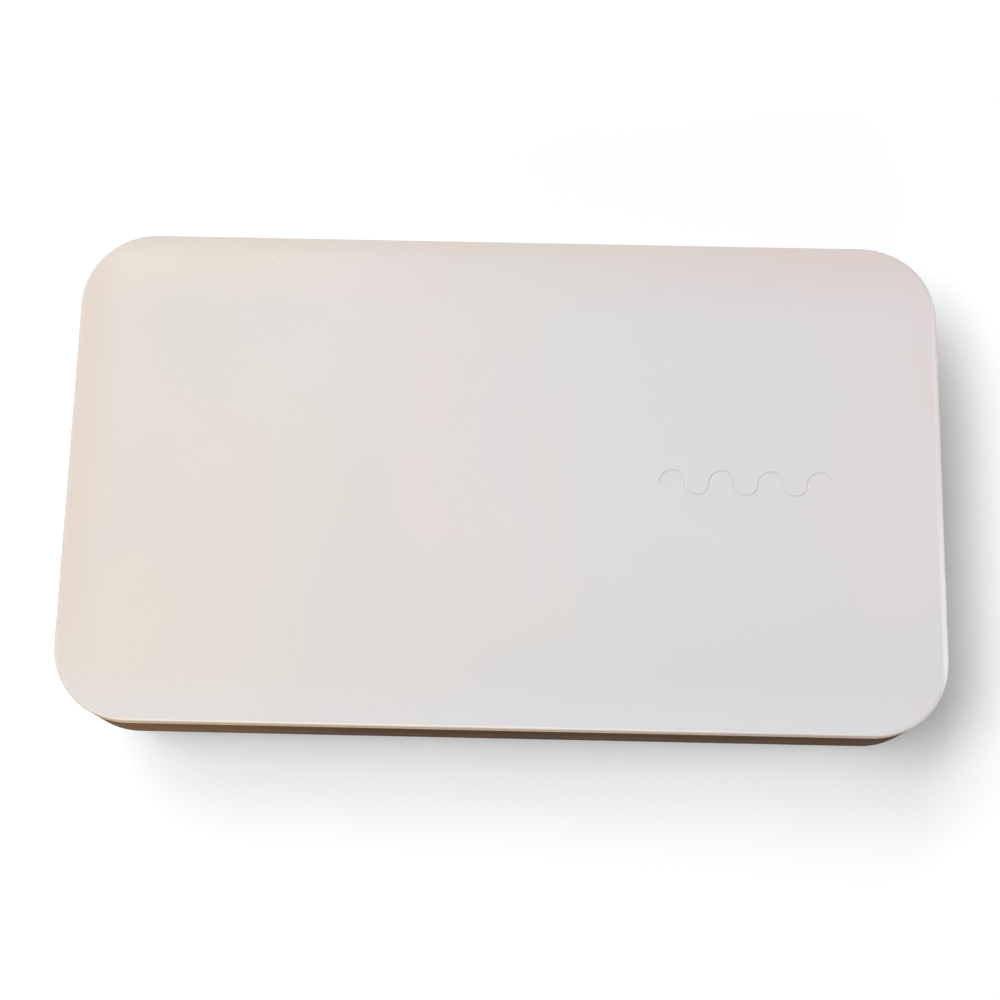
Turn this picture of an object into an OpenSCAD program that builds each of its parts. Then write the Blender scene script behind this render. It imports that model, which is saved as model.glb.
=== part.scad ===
// Flat sanitizing box for a phone, with a hinged lid and a front button.
// Millimetres, Z up. The origin is the middle of the footprint, at the
// underside of the feet. The front faces -Y, and the lid is drawn shut.

/* [Case] */
// Width from left to right
body_w = 228; // [226:1:234]
// Depth from front to back
body_d = 131; // [129:1:135]
// Height from the feet to the top of the lid
body_h = 44; // [44:1:48]
// Radius of the four corners seen from above
corner_r = 19.5; // [18.5:0.5:20.5]
// Thickness of the outer walls of the base
wall_t = 2.2; // [2:0.1:2.4]
// Thickness of the bottom of the base
floor_t = 2; // [1.8:0.1:2.2]
// Lean of the lower wall, in degrees
wall_lean = 11; // [10:0.5:12]
// Rounding between the lower wall and the bottom
bottom_r = 5; // [4:0.5:5.5]

/* [Side band] */
// Height of the band round the base
base_band_h = 10; // [9.6:0.2:10.2]
// Thickness of the band round the base
base_band_t = 2; // [1.8:0.1:2.2]
// Height of the band round the lid
lid_band_h = 7.8; // [7.6:0.2:8.2]
// Thickness of the band round the lid
lid_band_t = 2.4; // [2.2:0.1:2.6]
// Rounding of the bands' outer edges
band_r = 0.5; // [0.3:0.1:0.6]
// Step from the band in to the lower wall
band_step = 0.8; // [0.6:0.1:1]
// Gap between the lid and the base when shut
lid_gap = 0.4; // [0.3:0.1:0.5]

/* [Lid] */
// Thickness of the lid's top wall
lid_top_t = 2; // [1.8:0.1:2.2]
// Height of the lid's light-coloured edge
lid_edge_h = 3.4; // [3.2:0.1:3.6]
// Rounding of the lid's upper edge
lid_edge_r = 1.2; // [1:0.1:1.6]
// Depth of the engraved wave on the lid
wave_depth = 0.25; // [0.2:0.05:0.4]
// Number of half rings in the engraved wave
wave_count = 7; // [5:2:9]

/* [Hinge] */
// Radius of the lid's hinge barrel
barrel_r = 2.6; // [2.5:0.1:2.7]
// Length of the lid's hinge barrel
barrel_l = 148; // [140:2:156]
// Radius of the two hinge pins
pin_r = 1.3; // [1.2:0.1:1.4]
// Running gap round a hinge pin
pin_gap = 0.06; // [0.04:0.01:0.08]

/* [Chamber] */
// Width of the bright chamber
chamber_w = 190; // [186:1:191]
// Depth of the bright chamber from front to back
chamber_d = 98; // [94:1:99]
// Height of the chamber's floor above the table
chamber_z = 12.3; // [12.1:0.1:12.6]
// Thickness of the chamber's sheet
sheet_t = 0.8; // [0.6:0.1:0.8]
// Rounding between the chamber's walls and floor
chamber_floor_r = 3; // [2:0.5:4]
// Number of cross bars in the phone rack
rack_bars = 8; // [6:2:10]
// Radius of the rack's rods
rod_r = 1.2; // [1.1:0.1:1.3]

/* [Lamps] */
// Spacing of the lamps from left to right
lamp_dx = 46; // [44:1:48]
// Spacing of the lamps from front to back
lamp_dy = 40; // [36:2:42]
// Radius of a lamp's window
lens_r = 4; // [3.8:0.1:4.2]

/* [Button] */
// Radius of the button on the front
button_r = 6; // [5.5:0.25:6]
// Height of the button's middle above the table
button_z = 13; // [12.5:0.25:13]
// Travel of the button
button_travel = 0.8; // [0.6:0.1:0.8]

/* [Feet] */
// Radius of a rubber foot
foot_r = 8; // [7:0.5:9]
// Height of a foot below the base
foot_h = 1.2; // [1:0.1:1.4]

/* [Hidden] */
$fn = 96;
eps = 0.01;
snug = 0.04;
tan_lean = tan(wall_lean);
cos_lean = cos(wall_lean);
sin_lean = sin(wall_lean);

wave_x = 63;
wave_y = -0.5;
wave_pitch = 6.4;
wave_w = 0.6;

white = [0.87, 0.86, 0.85];
brown = [0.35, 0.28, 0.22];
dark = [0.15, 0.15, 0.16];
bright = [0.8, 0.81, 0.82];
steel = [0.6, 0.61, 0.63];
clear = [0.82, 0.88, 0.92];
amber = [0.85, 0.75, 0.45];
green = [0.12, 0.35, 0.2];
pale = [0.92, 0.92, 0.9];

// plan: the corner centres are shared by every outline round the case
cx = body_w / 2 - corner_r;
cy = body_d / 2 - corner_r;

// levels, from the table up
z_top = body_h;
z_edge = z_top - lid_edge_h;
z_lid = z_edge - lid_band_h;
z_split = z_lid - lid_gap;
z_band = z_split - base_band_h;
z_floor = foot_h + floor_t;
z_under_top = z_top - lid_top_t;

// base walls
wall_slant = wall_t / cos_lean;
upper_in = base_band_t + wall_t;
z_thick = z_band - 1.2;
cavity_lap = 0.6;
deck_t = 2;
deck_gap = 0.7;
z_deck = z_split - deck_t;
deck_head_z = z_split - 1.2;

// hinge
axis_y = body_d / 2 - barrel_r;
axis_z = z_split - 3.6;
relief_r = 3.65;
pocket_gap = 0.6;
pocket_drop = 3.5;
pocket_wall = 1.6;
pocket_l = barrel_l + 0.8;
pocket_y = axis_y - barrel_r - pocket_gap;
boss_l = 8;
boss_x = pocket_l / 2 + boss_l;
boss_gap = 0.6;
arm_top_y = body_d / 2 - lid_band_t;
arm_y = axis_y - barrel_r;
pin_in = 8;
pin_out = 5;
bore_r = pin_r + pin_gap;
lead_r = 0.55;
lead_hole_r = 0.8;
arm_plate_x = 60;
arm_plate_y = 53;
arm_plate_t = 1.6;
arm_gap = 0.3;
lead_up_y = axis_y - 1.2;
lead_end_y = 23;
lead_x = barrel_l / 2 - pin_in - 10;
lead_z = 40.1 + z_top - 44;
lead_turn_x = pocket_l / 2 + pin_out + 0.6;
lead_drop_y = 55.5 + (body_d - 131) / 2;

// chamber
chamber_y = -2;
chamber_r = 8;
flange = 3.5;
rack_x = 80;
rail_y = chamber_d / 2 - 13;
rail_rise = 4;
rail_over = 5;
bar_over = 6;
leg_in = 3;
leg_r = rod_r + 0.4;
seal_in = 1;
seal_out = 3.2;
seal_depth = 0.9;
seal_drop = 0.3;

// lid insides
frame_t = 1.6;
z_frame = z_lid + frame_t;
frame_gap = 0.2;
liner_t = 0.6;
z_liner = z_top - 5.2;
lid_board_z = z_top - 3.2;
lamp_board_t = 1;
lamp_size = 3.5;
lamp_h = 1.2;
lens_t = 1;
lamp_board_w = 2 * lamp_dx + 58;
lamp_board_d = lamp_dy + 16;
lamp_post_x = lamp_board_w / 2 - 4;
lamp_post_y = lamp_board_d / 2 - 4;

// fasteners of the lid and the deck
lid_screw_z = 1.1;
screw_head_r = 2.2;
screw_head_h = 1;
head_gap = 0.3;
slot_l = 2.4;
slot_w = 0.5;
screw_r = 1.25;
screw_l = 7;
lid_screw_l = 4;
lid_hole_l = 3.6;
post_r = 2.6;
web_t = 2;
web_l = 4;
front_post_z = z_floor + 6;
side_x = body_w / 2 - 11;
front_y = body_d / 2 - 8;
side_spots = [
    [-side_x, -45], [side_x, -45],
    [-side_x, 41], [side_x, 41]
];
front_spots = [[-60, -front_y], [60, -front_y]];
arm_spots = [[-50, 56], [50, 56]];
deck_spots = concat(side_spots, front_spots);
lid_spots = concat(side_spots, front_spots, arm_spots);

// catch, sensor and pads
catch_x = 74;
sensor_x = 22;
sensor_w = 4;
sensor_d = 3;
sensor_h = 1.4;
magnet_r = 2.5;
magnet_t = 1.2;
sensor_magnet_r = 1.5;
pad_r = 2;
pad_rise = 0.35;
pad_deep = 0.8;
pad_x = 90;
pad_back_y = 53.5;

// base electronics
board_t = 1.6;
board_post_r = 2.2;
board_hole_r = 1.2;
board_rise = 1.8;
board_z = z_floor + board_rise;
board_w = 90;
board_d = 42;
board_y = 36;
board_post_x = 40;
board_post_y = 15;
base_lamp_z = chamber_z - sheet_t - lamp_h - lamp_board_t - 0.1;
// each chip: left, front, width, depth, height
chips = [[-22, 28, 8, 8, 1.1], [6, 24, 5, 6, 1.1], [18, 38, 7, 7, 1.9]];
cap_x = -30;
cap_y = 42;
cap_step = 9;
cap_r = 1.6;
cap_h = 1.8;
small_x = -8;
small_y = 34;
small_step = 3;
small_size = [1.2, 2, 0.8];
usb_w = 9;
usb_h = 3.2;
usb_l = 7.3;
usb_skin = 0.3;
usb_z = board_z + board_t + usb_h / 2;
usb_gap = 0.3;
usb_y = body_d / 2 - 4;
tongue_w = 6.7;
tongue_t = 0.7;

// front group, in a frame whose Z runs inward from the wall's outer face
face_y = body_d / 2 - band_step - (z_band - button_z) * tan_lean;
button_gap = 0.3;
button_proud = 0.8;
button_rim = 0.6;
button_skirt_r = button_r + 1.5;
button_skirt_z = wall_t + 0.3;
button_skirt_t = 1;
stem_r = 2;
stem_z = 4.6;
plunger_r = 1.6;
plunger_l = 1.4;
switch_z = 5.6;
switch_h = 2;
switch_size = 6;
switch_board_z = switch_z + switch_h;
switch_board_t = 1;
switch_post_x0 = -11;
switch_post_x1 = 18;
switch_post_r = 1.5;
switch_hole_r = 0.7;
switch_board_w = 9.2;
switch_lead_x = 8;
switch_lead_l = 7.2;
switch_lead_y = -52.8 - (body_d - 131) / 2;
switch_lead_z = z_floor + 0.8;
light_x = 14;
light_r = 1.5;
mark_r = 2.4;
mark_w = 0.6;
mark_depth = 0.3;

// feet and label
foot_x = 84;
foot_y = 40;
foot_in = 1;
foot_bevel = 0.5;
label_w = 62;
label_d = 30;
label_t = 0.3;

// Shapes used by several pieces

module outline(w, d, r) {
    square([w - 2 * r, d], center = true);
    square([w, d - 2 * r], center = true);
    for (sx = [-1, 1])
        for (sy = [-1, 1])
            translate([sx * (w / 2 - r), sy * (d / 2 - r)])
                circle(r = r);
}

module slab(w, d, r, z0, z1) {
    translate([0, 0, z0])
        linear_extrude(height = z1 - z0)
            outline(w, d, r);
}

// a slab whose edge lies a given distance inside the case's outline
module inset_slab(inset, z0, z1) {
    slab(body_w - 2 * inset, body_d - 2 * inset, corner_r - inset, z0, z1);
}

// a slab round the chamber, a margin wider than its opening
module chamber_slab(margin, z0, z1) {
    translate([0, chamber_y, 0])
        slab(
            chamber_w + 2 * margin,
            chamber_d + 2 * margin,
            chamber_r + margin,
            z0,
            z1
        );
}

module box_between(p0, p1) {
    translate(p0)
        cube(p1 - p0);
}

// a section carried round the case; its X is the distance out from a
// corner's centre and its Y is the height
module around(px = cx, py = cy) {
    for (i = [0 : 3]) {
        sx = i == 0 || i == 3 ? 1 : -1;
        sy = i < 2 ? 1 : -1;
        translate([sx * px, sy * py, 0])
            rotate([0, 0, 90 * i])
                rotate_extrude(angle = 90)
                    children();
    }
    for (a = [0, 180])
        rotate([0, 0, a])
            translate([px, 0, 0])
                rotate([90, 0, 0])
                    linear_extrude(height = 2 * py, center = true)
                        children();
    for (a = [90, 270])
        rotate([0, 0, a])
            translate([py, 0, 0])
                rotate([90, 0, 0])
                    linear_extrude(height = 2 * px, center = true)
                        children();
}

// section of a side band, with its outer edges rounded
module band_section(t, h, r0, r1) {
    r = max(r0, r1);
    translate([corner_r - t, 0])
        square([t - r, h]);
    translate([corner_r - r, r0])
        square([r, h - r0 - r1]);
    if (r0 > 0)
        translate([corner_r - r0, r0])
            intersection() {
                circle(r = r0);
                translate([0, -r0])
                    square(r0);
            }
    if (r1 > 0)
        translate([corner_r - r1, h - r1])
            intersection() {
                circle(r = r1);
                square(r1);
            }
}

// a dish round the chamber, with its floor's edge rounded
module chamber_dish(margin, z0, z1) {
    px = chamber_w / 2 - chamber_r;
    py = chamber_d / 2 - chamber_r;
    r = chamber_floor_r + margin;
    u = chamber_r + margin;
    translate([0, chamber_y, 0]) {
        around(px, py) {
            translate([0, z0])
                square([u - r, z1 - z0]);
            translate([u - r, z0 + r])
                square([r, z1 - z0 - r]);
            translate([u - r, z0 + r])
                intersection() {
                    circle(r = r);
                    translate([0, -r])
                        square(r);
                }
        }
        box_between([-px, -py, z0], [px, py, z1]);
    }
}

// half section of the leaning bowl, rounded at the bottom
module bowl_section(u_top, z0, z1, r) {
    zc = z0 + r;
    uc = u_top - (z1 - zc) * tan_lean - r / cos_lean;
    polygon([
        [0, z0],
        [uc, z0],
        [uc + r * cos_lean, zc - r * sin_lean],
        [u_top, z1],
        [0, z1]
    ]);
    translate([uc, zc])
        circle(r = r);
}

module bowl(u_top, z0, z1, r) {
    around()
        bowl_section(u_top, z0, z1, r);
    box_between([-cx, -cy, z0], [cx, cy, z1]);
}

// a rod along X at the hinge
module axis_rod(x0, x1, r) {
    translate([x0, axis_y, axis_z])
        rotate([0, 90, 0])
            cylinder(h = x1 - x0, r = r);
}

// room for the lid's rear corner as it swings down behind the base
module rear_relief() {
    difference() {
        box_between(
            [-body_w / 2, axis_y, axis_z],
            [body_w / 2, body_d / 2 + 2, z_split + 2]
        );
        axis_rod(-body_w / 2 - 1, body_w / 2 + 1, relief_r);
    }
}

module hinge_pocket() {
    box_between(
        [-pocket_l / 2, pocket_y, axis_z - pocket_drop],
        [pocket_l / 2, body_d / 2 + 2, z_split + 2]
    );
}

module front_frame() {
    translate([0, -face_y, button_z])
        rotate([wall_lean - 90, 0, 0])
            children();
}

module rod_up(p, h, r) {
    translate(p)
        cylinder(h = h, r = r);
}

module rod_y(p, l, r) {
    translate(p)
        rotate([-90, 0, 0])
            cylinder(h = l, r = r);
}

module lamp_spots() {
    for (ix = [-1 : 1])
        for (iy = [-1, 1])
            translate([ix * lamp_dx, chamber_y + iy * lamp_dy / 2, 0])
                children();
}

module stadium(w, h) {
    square([w - h, h], center = true);
    for (s = [-1, 1])
        translate([s * (w - h) / 2, 0])
            circle(d = h);
}

// a screw with its head down or up; Z is the head's inner face
module screw_up(l) {
    cylinder(h = l, r = screw_r);
    difference() {
        translate([0, 0, -screw_head_h])
            cylinder(h = screw_head_h, r = screw_head_r);
        for (a = [0, 90])
            rotate([0, 0, a])
                translate([-slot_l / 2, -slot_w / 2, -screw_head_h - eps])
                    cube([slot_l, slot_w, slot_w]);
    }
}

// Lid

module lid_edge_section() {
    flat_u = corner_r - lid_edge_r;
    flat_h = lid_edge_h - lid_edge_r;
    square([flat_u, lid_edge_h]);
    square([corner_r, flat_h]);
    translate([flat_u, flat_h])
        intersection() {
            circle(r = lid_edge_r);
            square(lid_edge_r);
        }
}

// half rings set in a row, turned up and down by turns
module wave() {
    for (i = [0 : wave_count - 1]) {
        side = i % 2 == 0 ? 1 : -1;
        translate([wave_x + (i - (wave_count - 1) / 2) * wave_pitch, wave_y, 0])
            difference() {
                cylinder(h = 2 * wave_depth, r = wave_pitch / 2 + wave_w / 2);
                translate([0, 0, -1])
                    cylinder(h = 3, r = wave_pitch / 2 - wave_w / 2);
                translate([-wave_pitch, side < 0 ? 0 : -2 * wave_pitch, -1])
                    cube([2 * wave_pitch, 2 * wave_pitch, 3]);
            }
    }
}

module lid_cover() {
    color(white)
        difference() {
            union() {
                difference() {
                    union() {
                        translate([0, 0, z_edge])
                            around()
                                lid_edge_section();
                        box_between([-cx, -cy, z_edge], [cx, cy, z_top]);
                    }
                    inset_slab(lid_band_t, z_edge - 1, z_under_top);
                }
                for (p = lid_spots)
                    rod_up([p[0], p[1], z_frame], z_under_top - z_frame, post_r);
            }
            for (p = arm_spots)
                rod_up([p[0], p[1], z_frame - 1], arm_plate_t + 1, post_r + 1);
            for (p = lid_spots)
                rod_up([p[0], p[1], z_frame - 1], lid_hole_l + 1, screw_r);
            translate([0, 0, z_top - wave_depth])
                wave();
        }
}

module lid_band() {
    color(brown)
        translate([0, 0, z_lid])
            around()
                band_section(lid_band_t, lid_band_h, band_r, 0);
}

module lid_hinge_arm() {
    color(brown)
        difference() {
            union() {
                translate([-barrel_l / 2, 0, 0])
                    rotate([90, 0, 90])
                        linear_extrude(height = barrel_l) {
                            translate([axis_y, axis_z])
                                circle(r = barrel_r);
                            translate([arm_y, axis_z])
                                square([2 * barrel_r, z_lid - axis_z]);
                            translate([arm_y, axis_z])
                                square([arm_top_y - arm_y, z_under_top - axis_z]);
                        }
                box_between(
                    [-arm_plate_x, arm_plate_y, z_frame],
                    [arm_plate_x, arm_y, z_frame + arm_plate_t]
                );
            }
            for (s = [-1, 1])
                axis_rod(
                    s > 0 ? barrel_l / 2 - pin_in : -barrel_l / 2 - 1,
                    s > 0 ? barrel_l / 2 + 1 : -barrel_l / 2 + pin_in,
                    bore_r
                );
            axis_rod(lead_x - lead_hole_r, barrel_l / 2 - pin_in + 1, lead_hole_r);
            rod_up(
                [lead_x, lead_up_y, axis_z - lead_hole_r],
                z_top - axis_z,
                lead_hole_r
            );
            box_between(
                [
                    lead_x - lead_hole_r,
                    lead_up_y,
                    axis_z - lead_hole_r
                ],
                [lead_x + lead_hole_r, axis_y, axis_z + lead_hole_r]
            );
            box_between(
                [lead_x - lead_hole_r, arm_y - 1, z_frame + arm_plate_t],
                [lead_x + lead_hole_r, lead_up_y, z_top]
            );
            for (p = arm_spots)
                rod_up([p[0], p[1], z_frame - 1], arm_plate_t + 2, screw_r);
        }
}

module lid_frame() {
    color(white)
        difference() {
            inset_slab(lid_band_t + frame_gap, z_lid, z_frame);
            chamber_slab(0, z_lid - 1, z_frame + 1);
            difference() {
                chamber_slab(seal_out, z_lid - 1, z_lid + seal_depth);
                chamber_slab(seal_in, z_lid - 2, z_lid + seal_depth + 1);
            }
            box_between(
                [-barrel_l / 2 - arm_gap, arm_y - arm_gap, z_lid - 1],
                [barrel_l / 2 + arm_gap, body_d / 2, z_frame + 1]
            );
            for (p = lid_spots) {
                rod_up([p[0], p[1], z_lid - 1], frame_t + 2, screw_r);
                rod_up([p[0], p[1], z_lid - 1], lid_screw_z + 1, screw_head_r + head_gap);
            }
            for (s = [-1, 1])
                rod_up([s * catch_x, -front_y, z_lid - 1], magnet_t + 1, magnet_r);
            rod_up([sensor_x, -front_y, z_lid - 1], magnet_t + 1, sensor_magnet_r);
        }
}

module lid_seal() {
    color(dark)
        difference() {
            chamber_slab(seal_out - snug, z_lid - seal_drop, z_lid + seal_depth);
            chamber_slab(seal_in + snug, z_lid - 1, z_lid + seal_depth + 1);
        }
}

module lid_liner() {
    color(bright)
        difference() {
            union() {
                chamber_slab(flange, z_frame, z_frame + liner_t);
                chamber_slab(liner_t, z_frame, z_liner + liner_t);
            }
            chamber_slab(0, z_frame - 1, z_liner);
            lamp_spots()
                rod_up([0, 0, z_liner - 1], liner_t + 2, lens_r);
        }
}

module lid_lenses() {
    color(clear)
        lamp_spots()
            rod_up([0, 0, z_liner - 0.2], lens_t, lens_r);
}

module lid_lamps() {
    color(amber)
        lamp_spots()
            translate([-lamp_size / 2, -lamp_size / 2, lid_board_z - lamp_h])
                cube([lamp_size, lamp_size, lamp_h]);
}

module lamp_board(z) {
    difference() {
        box_between(
            [-lamp_board_w / 2, chamber_y - lamp_board_d / 2, z],
            [lamp_board_w / 2, chamber_y + lamp_board_d / 2, z + lamp_board_t]
        );
        for (sx = [-1, 1])
            for (sy = [-1, 1])
                rod_up(
                    [sx * lamp_post_x, chamber_y + sy * lamp_post_y, z - 1],
                    lamp_board_t + 2,
                    board_hole_r
                );
    }
}

module lid_lamp_board() {
    color(green)
        lamp_board(lid_board_z);
}

module lid_magnets() {
    color(steel)
        for (s = [-1, 1])
            rod_up([s * catch_x, -front_y, z_lid + 0.1], magnet_t - 0.1, magnet_r);
}

module lid_sensor_magnet() {
    color(steel)
        rod_up([sensor_x, -front_y, z_lid + 0.1], magnet_t - 0.1, sensor_magnet_r);
}

module lid_screws() {
    color(steel)
        for (p = lid_spots)
            translate([p[0], p[1], z_lid + lid_screw_z])
                screw_up(lid_screw_l);
}

module lid_lead() {
    color(dark)
        union() {
            axis_rod(lead_x, barrel_l / 2 - pin_in - 0.15, lead_r);
            translate([lead_x, axis_y, axis_z])
                sphere(r = lead_r);
            rod_y([lead_x, lead_up_y, axis_z], axis_y - lead_up_y, lead_r);
            translate([lead_x, lead_up_y, axis_z])
                sphere(r = lead_r);
            rod_up([lead_x, lead_up_y, axis_z], lead_z - axis_z, lead_r);
            translate([lead_x, lead_up_y, lead_z])
                sphere(r = lead_r);
            rod_y([lead_x, lead_end_y, lead_z], lead_up_y - lead_end_y, lead_r);
        }
}

// Base

module base_shell_walls() {
    inner_top = corner_r - band_step - (z_band - z_thick) * tan_lean - wall_slant;
    difference() {
        union() {
            bowl(corner_r - band_step, foot_h, z_band, bottom_r);
            inset_slab(base_band_t, z_band, z_split);
        }
        bowl(inner_top, z_floor, z_thick, bottom_r - wall_t);
        inset_slab(upper_in, z_thick - cavity_lap, z_split + 1);
    }
}

module base_shell() {
    color(white)
        difference() {
            union() {
                base_shell_walls();
                box_between(
                    [-boss_x, pocket_y - pocket_wall, axis_z - pocket_drop - pocket_wall],
                    [boss_x, body_d / 2 - base_band_t, z_split]
                );
                for (p = side_spots)
                    rod_up([p[0], p[1], z_floor - 1], z_deck - z_floor + 1, post_r);
                for (p = front_spots) {
                    rod_up([p[0], p[1], front_post_z], z_deck - front_post_z, post_r);
                    box_between(
                        [p[0] - web_t / 2, p[1] - web_l, front_post_z],
                        [p[0] + web_t / 2, p[1], z_deck]
                    );
                }
                for (sx = [-1, 1])
                    for (sy = [-1, 1]) {
                        rod_up(
                            [sx * board_post_x, board_y + sy * board_post_y, z_floor - 1],
                            board_rise + 1,
                            board_post_r
                        );
                        rod_up(
                            [sx * lamp_post_x, chamber_y + sy * lamp_post_y, z_floor - 1],
                            base_lamp_z - z_floor + 1,
                            board_post_r
                        );
                    }
                front_frame()
                    for (x = [switch_post_x0, switch_post_x1])
                        rod_up([x, 0, wall_t - 0.4], switch_board_z - wall_t + 0.4, switch_post_r);
            }
            hinge_pocket();
            rear_relief();
            axis_rod(-boss_x - 1, -pocket_l / 2 + 1, pin_r);
            axis_rod(pocket_l / 2 - 1, boss_x + 1, pin_r);
            rod_y(
                [lead_turn_x, pocket_y - pocket_wall - 1, axis_z],
                axis_y - pocket_y + pocket_wall + 1,
                lead_hole_r
            );
            for (p = deck_spots)
                rod_up([p[0], p[1], z_deck - screw_l], screw_l + 1, screw_r);
            front_frame() {
                rod_up([0, 0, -2], wall_t + 3, button_r + button_gap);
                rod_up([light_x, 0, -2], wall_t + 3, light_r);
            }
            translate([0, body_d / 2 - 12, usb_z])
                rotate([-90, 0, 0])
                    linear_extrude(height = 13)
                        stadium(usb_w + 2 * usb_gap, usb_h + 2 * usb_gap);
            for (sx = [-1, 1])
                for (sy = [-1, 1])
                    rod_up([sx * foot_x, sy * foot_y, 0], foot_h + foot_in, foot_r);
            slab(label_w, label_d, 2, 0, foot_h + label_t);
        }
}

module base_band() {
    color(brown)
        difference() {
            translate([0, 0, z_band])
                around()
                    band_section(base_band_t, base_band_h, band_r, band_r);
            axis_rod(-boss_x - 1, boss_x + 1, pin_r + snug);
            hinge_pocket();
            rear_relief();
        }
}

module base_deck() {
    color(white)
        difference() {
            inset_slab(upper_in + deck_gap, z_deck, z_split);
            chamber_slab(sheet_t + 0.2, z_deck - 1, z_split + 1);
            chamber_slab(flange + snug, z_split - sheet_t, z_split + 1);
            box_between(
                [-boss_x - boss_gap, pocket_y - pocket_wall - boss_gap, z_deck - 1],
                [boss_x + boss_gap, body_d / 2, z_split + 1]
            );
            for (p = deck_spots) {
                rod_up([p[0], p[1], z_deck - 1], deck_t + 2, screw_r);
                rod_up([p[0], p[1], deck_head_z], 3, screw_head_r + head_gap);
            }
            for (s = [-1, 1]) {
                rod_up([s * catch_x, -front_y, z_split - magnet_t], 3, magnet_r);
                rod_up([s * pad_x, -front_y, z_split - pad_deep], 3, pad_r);
                rod_up([s * pad_x, pad_back_y, z_split - pad_deep], 3, pad_r);
            }
        }
}

module chamber_tray() {
    color(bright)
        difference() {
            union() {
                chamber_slab(flange, z_split - sheet_t, z_split);
                chamber_dish(sheet_t, chamber_z - sheet_t, z_split);
            }
            chamber_dish(0, chamber_z, z_split + 1);
            lamp_spots()
                rod_up([0, 0, chamber_z - sheet_t - 1], sheet_t + 2, lens_r);
        }
}

module phone_rack() {
    rail_z = chamber_z + rail_rise;
    bar_z = rail_z + 1.6 * rod_r;
    bar_y = rail_y + bar_over;
    color(steel)
        union() {
            for (s = [-1, 1]) {
                translate([-rack_x - rail_over, chamber_y + s * rail_y, rail_z])
                    rotate([0, 90, 0])
                        cylinder(h = 2 * (rack_x + rail_over), r = rod_r);
                for (t = [-1, 1])
                    rod_up(
                        [t * (rack_x - leg_in), chamber_y + s * rail_y, chamber_z],
                        rail_rise,
                        leg_r
                    );
            }
            for (i = [0 : rack_bars - 1])
                translate([(i / (rack_bars - 1) * 2 - 1) * rack_x, chamber_y, bar_z]) {
                    rod_y([0, -bar_y, 0], 2 * bar_y, rod_r);
                    for (s = [-1, 1])
                        translate([0, s * bar_y, 0])
                            sphere(r = rod_r);
                }
        }
}

module base_lenses() {
    color(clear)
        lamp_spots()
            rod_up([0, 0, chamber_z - sheet_t], lens_t, lens_r);
}

module base_lamps() {
    color(amber)
        lamp_spots()
            translate([-lamp_size / 2, -lamp_size / 2, base_lamp_z + lamp_board_t])
                cube([lamp_size, lamp_size, lamp_h]);
}

module base_lamp_board() {
    color(green)
        lamp_board(base_lamp_z);
}

module main_board() {
    color(green)
        difference() {
            box_between(
                [-board_w / 2, board_y - board_d / 2, board_z],
                [board_w / 2, board_y + board_d / 2, board_z + board_t]
            );
            for (sx = [-1, 1])
                for (sy = [-1, 1])
                    rod_up(
                        [sx * board_post_x, board_y + sy * board_post_y, board_z - 1],
                        board_t + 2,
                        board_hole_r
                    );
        }
}

module board_chips() {
    color(dark)
        translate([0, 0, board_z + board_t]) {
            for (c = chips)
                translate([c[0], c[1], 0])
                    cube([c[2], c[3], c[4]]);
            for (i = [0 : 3])
                translate([cap_x + cap_step * i, cap_y, 0])
                    cylinder(h = cap_h, r = cap_r);
            for (i = [0 : 5])
                translate([small_x + small_step * i, small_y, 0])
                    cube(small_size);
        }
}

module usb_socket() {
    color(steel)
        translate([0, usb_y - usb_l, usb_z])
            rotate([-90, 0, 0])
                difference() {
                    linear_extrude(height = usb_l)
                        stadium(usb_w, usb_h);
                    translate([0, 0, usb_skin])
                        linear_extrude(height = usb_l)
                            stadium(usb_w - 2 * usb_skin, usb_h - 2 * usb_skin);
                }
}

module usb_tongue() {
    color(dark)
        box_between(
            [-tongue_w / 2, usb_y - usb_l + usb_skin, usb_z - tongue_t / 2],
            [tongue_w / 2, usb_y - 1, usb_z + tongue_t / 2]
        );
}

module button_switch() {
    color(dark)
        front_frame()
            difference() {
                translate([-switch_size / 2, -switch_size / 2, switch_z])
                    cube([switch_size, switch_size, switch_h]);
                rod_up([0, 0, switch_z - 1], switch_h + 0.6, plunger_r + 0.3);
            }
}

module switch_board() {
    color(green)
        front_frame()
            difference() {
                translate([switch_post_x0 - 2, -switch_board_w / 2, switch_board_z])
                    cube([
                        switch_post_x1 - switch_post_x0 + 4,
                        switch_board_w,
                        switch_board_t
                    ]);
                for (x = [switch_post_x0, switch_post_x1])
                    rod_up([x, 0, switch_board_z - 1], switch_board_t + 2, switch_hole_r);
            }
}

module status_light() {
    color(clear)
        front_frame()
            union() {
                rod_up([light_x, 0, -0.2], switch_board_z - 0.4, light_r);
                rod_up([light_x, 0, wall_t], 1, light_r + 0.6);
            }
}

module lid_sensor() {
    color(dark)
        box_between(
            [sensor_x - sensor_w / 2, -front_y - sensor_d / 2, z_deck - sensor_h],
            [sensor_x + sensor_w / 2, -front_y + sensor_d / 2, z_deck]
        );
}

module catch_plates() {
    color(steel)
        for (s = [-1, 1])
            rod_up([s * catch_x, -front_y, z_split - magnet_t], magnet_t, magnet_r);
}

module bumper_pads() {
    color(dark)
        for (s = [-1, 1])
            for (y = [-front_y, pad_back_y])
                rod_up([s * pad_x, y, z_split - pad_deep], pad_deep + pad_rise, pad_r);
}

module deck_screws() {
    color(steel)
        for (p = deck_spots)
            translate([p[0], p[1], deck_head_z])
                rotate([180, 0, 0])
                    screw_up(screw_l);
}

module hinge_pin() {
    color(steel)
        axis_rod(-pocket_l / 2 - pin_out, -barrel_l / 2 + pin_in - 0.2, pin_r);
}

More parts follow.
